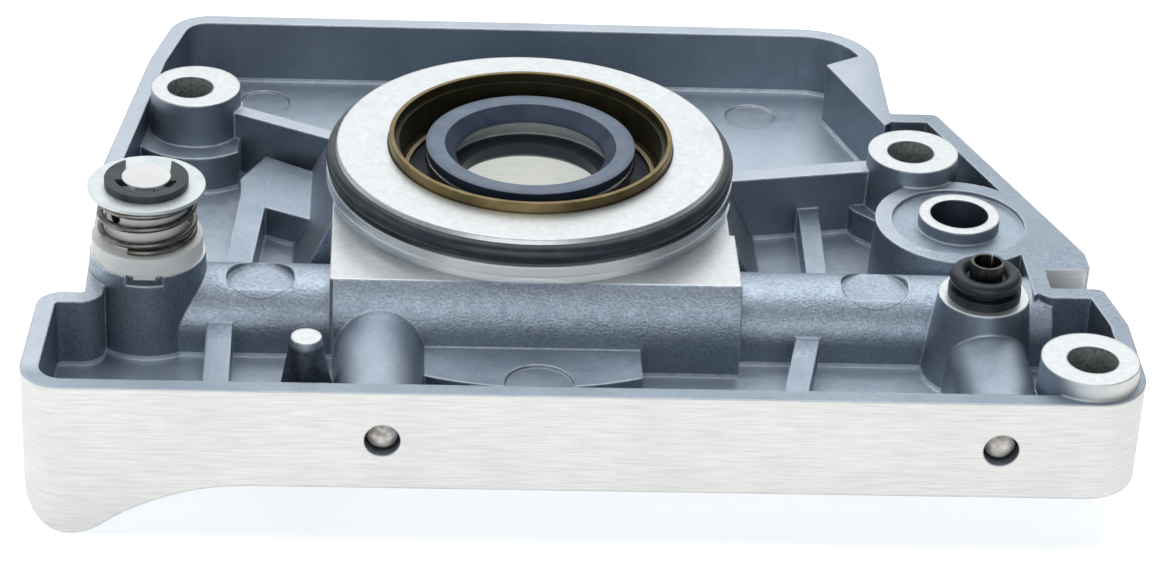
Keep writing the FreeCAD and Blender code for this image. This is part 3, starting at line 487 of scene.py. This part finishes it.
def rubber(name, color, rough):
    """Black moulded rubber with faint bloom."""
    s = Shader(name)
    light = tuple(part * 1.6 + 0.01 for part in color)
    s.bump(s.noise(5000, 3), 0.2, 0.00004, 0.00015)
    return s.finish(s.clouds(s.noise(500, 4), color, light, 0.4, 0.75), rough)


def nylon():
    """Natural nylon with soft clouds, and painted shade inside the shaft's cross hole."""
    s = Shader("nylon")
    x, y, z = s.axes(s.coords)
    dx = s.math("SUBTRACT", x, ADJUSTER[0])
    dy = s.math("SUBTRACT", y, ADJUSTER[1])
    cosine = math.cos(CROSS_HOLE_TURN)
    sine = math.sin(CROSS_HOLE_TURN)
    ahead = s.math("ADD", s.product(dx, cosine), s.product(dy, sine))
    across = s.math("SUBTRACT", s.product(dy, cosine), s.product(dx, sine))
    away = s.length(across, s.math("SUBTRACT", z, CROSS_HOLE_Z))
    hole = s.product(s.below(away, CROSS_HOLE_R, 0.000075), s.above(ahead, 0.00075, 0.00025))
    color = s.clouds(s.noise(300, 3), (0.80, 0.81, 0.81), (0.90, 0.91, 0.90))
    # Painted shade: a dark patch where the inside of the cross hole is.
    color = s.mix(hole, color, (0.020, 0.014, 0.010))
    s.bump(s.noise(2500, 3), 0.15, 0.00003, 0.00015)
    return s.finish(color, 0.42, Subsurface_Weight=0.15, Subsurface_Radius=(0.0008, 0.0008, 0.0008))


def ball_steel():
    """Dull pressed-in balls with painted shade round their edge and brownish stain."""
    s = Shader("ball_steel")
    x, _, z = s.axes(s.coords)
    left, right = (s.math("ABSOLUTE", s.math("SUBTRACT", x, place)) for place in BALLS)
    away = s.length(s.math("MINIMUM", left, right), s.math("SUBTRACT", z, PASSAGE_Z))
    mottle = s.noise(900, 4)
    color = s.clouds(mottle, (0.36, 0.31, 0.27), (0.80, 0.78, 0.75), 0.35, 0.65)
    # Painted shade: the ball's edge, where it meets its bore, is coloured dark.
    color = s.mix(s.above(away, BALL_EDGE_R, 0.00005), color, (0.025, 0.020, 0.018))
    s.bump(mottle, 0.3, 0.00006, 0.0001)
    return s.finish(color, 0.5, s.product(s.ramp(away, 0.00162, 0.00150), 0.45))


def dress():
    """Gives every CAD node its material."""
    black = rubber("seal_rubber", (0.013, 0.021, 0.030), 0.36)
    wire = metal("spring_wire", (0.11, 0.11, 0.10), (0.27, 0.265, 0.24), 0.3, 900)
    zinc = metal("bright_zinc", (0.60, 0.66, 0.68), (0.74, 0.79, 0.80), 0.38, 500, metal_part=0.7)
    dark = metal("dark_steel", (0.020, 0.030, 0.040), (0.060, 0.070, 0.080), 0.36, metal_part=0.5)
    tube = metal("tube_steel", (0.045, 0.045, 0.048), (0.18, 0.18, 0.18), 0.3, 800, (1, 1, 0.2))
    ground = metal("ground_steel", (0.46, 0.47, 0.49), (0.62, 0.63, 0.65), 0.25, 700, (0.1, 1, 1))
    white = nylon()
    balls = ball_steel()
    materials = {
        "pump_housing": cast_metal(),
        "seal_case": case_metal(),
        "seal_inner_cup": cup_metal(),
        "seal_lip": lip_rubber(),
        "garter_spring": garter_wire(),
        "carrier_o_ring": black,
        "adjuster_shaft": white,
        "adjuster_collar": white,
        "adjuster_spring": wire,
        "adjuster_washer": zinc,
        "adjuster_e_clip": dark,
        "shaft_upper_o_ring": black,
        "shaft_lower_o_ring": black,
        "plunger": ground,
        "thrust_washer": ground,
        "plunger_spring": wire,
        "barrel_plug": zinc,
        "passage_ball_left": balls,
        "passage_ball_right": balls,
        "port_grommet": rubber("port_rubber", (0.006, 0.011, 0.018), 0.44),
        "port_sleeve": tube,
    }
    for name, material in materials.items():
        slots = NODES[name].data.materials
        slots.clear()
        slots.append(material)


def place_object(name, data):
    """Adds an object to the scene."""
    obj = bpy.data.objects.new(name, data)
    bpy.context.collection.objects.link(obj)
    return obj


def camera():
    """Long lens from the front, looking down, as in the photograph."""
    ahead = Vector((math.sin(YAW) * math.cos(PITCH), math.cos(YAW) * math.cos(PITCH), -math.sin(PITCH)))
    right = Vector((math.cos(YAW), -math.sin(YAW), 0))
    up = right.cross(ahead)
    turned = right * math.cos(ROLL) + up * math.sin(ROLL)
    upright = up * math.cos(ROLL) - right * math.sin(ROLL)
    data = bpy.data.cameras.new("camera")
    data.lens = LENS
    data.sensor_width = 36
    data.clip_start = 0.01
    obj = place_object("camera", data)
    rotation = Matrix((turned, upright, -ahead)).transposed().to_4x4()
    obj.matrix_world = Matrix.Translation(CAMERA_AT) @ rotation
    bpy.context.scene.camera = obj


def floor():
    """Pale floor that the lens sees as white, with the object's shadow on it."""
    half = FLOOR_HALF
    level = CAD_BOX[0][2] - FLOOR_GAP
    mesh = bpy.data.meshes.new("floor")
    corners = [(-half, -half, level), (half, -half, level), (half, half, level), (-half, half, level)]
    mesh.from_pydata(corners, [], [(0, 1, 2, 3)])
    obj = place_object("floor", mesh)
    s = Shader("floor")
    s.finish((0.8, 0.8, 0.8), 0.9)
    paths = s.add("ShaderNodeLightPath").outputs
    seen = s.highest(*(paths[kind] for kind in ("Is Camera Ray", "Is Glossy Ray", "Is Transmission Ray")))
    glow = s.add("ShaderNodeEmission")
    glow.inputs["Strength"].default_value = FLOOR_GLOW
    both = s.add("ShaderNodeAddShader")
    s.link(s.bsdf.outputs[0], both.inputs[0])
    s.link(glow.outputs[0], both.inputs[1])
    pick = s.add("ShaderNodeMixShader")
    s.link(seen, pick.inputs[0])
    s.link(s.bsdf.outputs[0], pick.inputs[1])
    s.link(both.outputs[0], pick.inputs[2])
    s.link(pick.outputs[0], s.output.inputs["Surface"])
    mesh.materials.append(s.material)


def light():
    """Large soft lamps and a pale world."""
    for name, place, size, power in LAMPS:
        data = bpy.data.lights.new(name, "AREA")
        data.shape = "RECTANGLE"
        data.size, data.size_y = size
        data.energy = power
        obj = place_object(name, data)
        obj.location = place
        obj.rotation_euler = (-Vector(place)).to_track_quat("-Z", "Y").to_euler()
    world = bpy.data.worlds.new("world")
    world.use_nodes = True
    background = world.node_tree.nodes["Background"]
    background.inputs["Color"].default_value = WORLD_COLOR
    background.inputs["Strength"].default_value = WORLD_STRENGTH
    bpy.context.scene.world = world


dress()
camera()
floor()
light()
bpy.context.scene.view_settings.view_transform = "Standard"
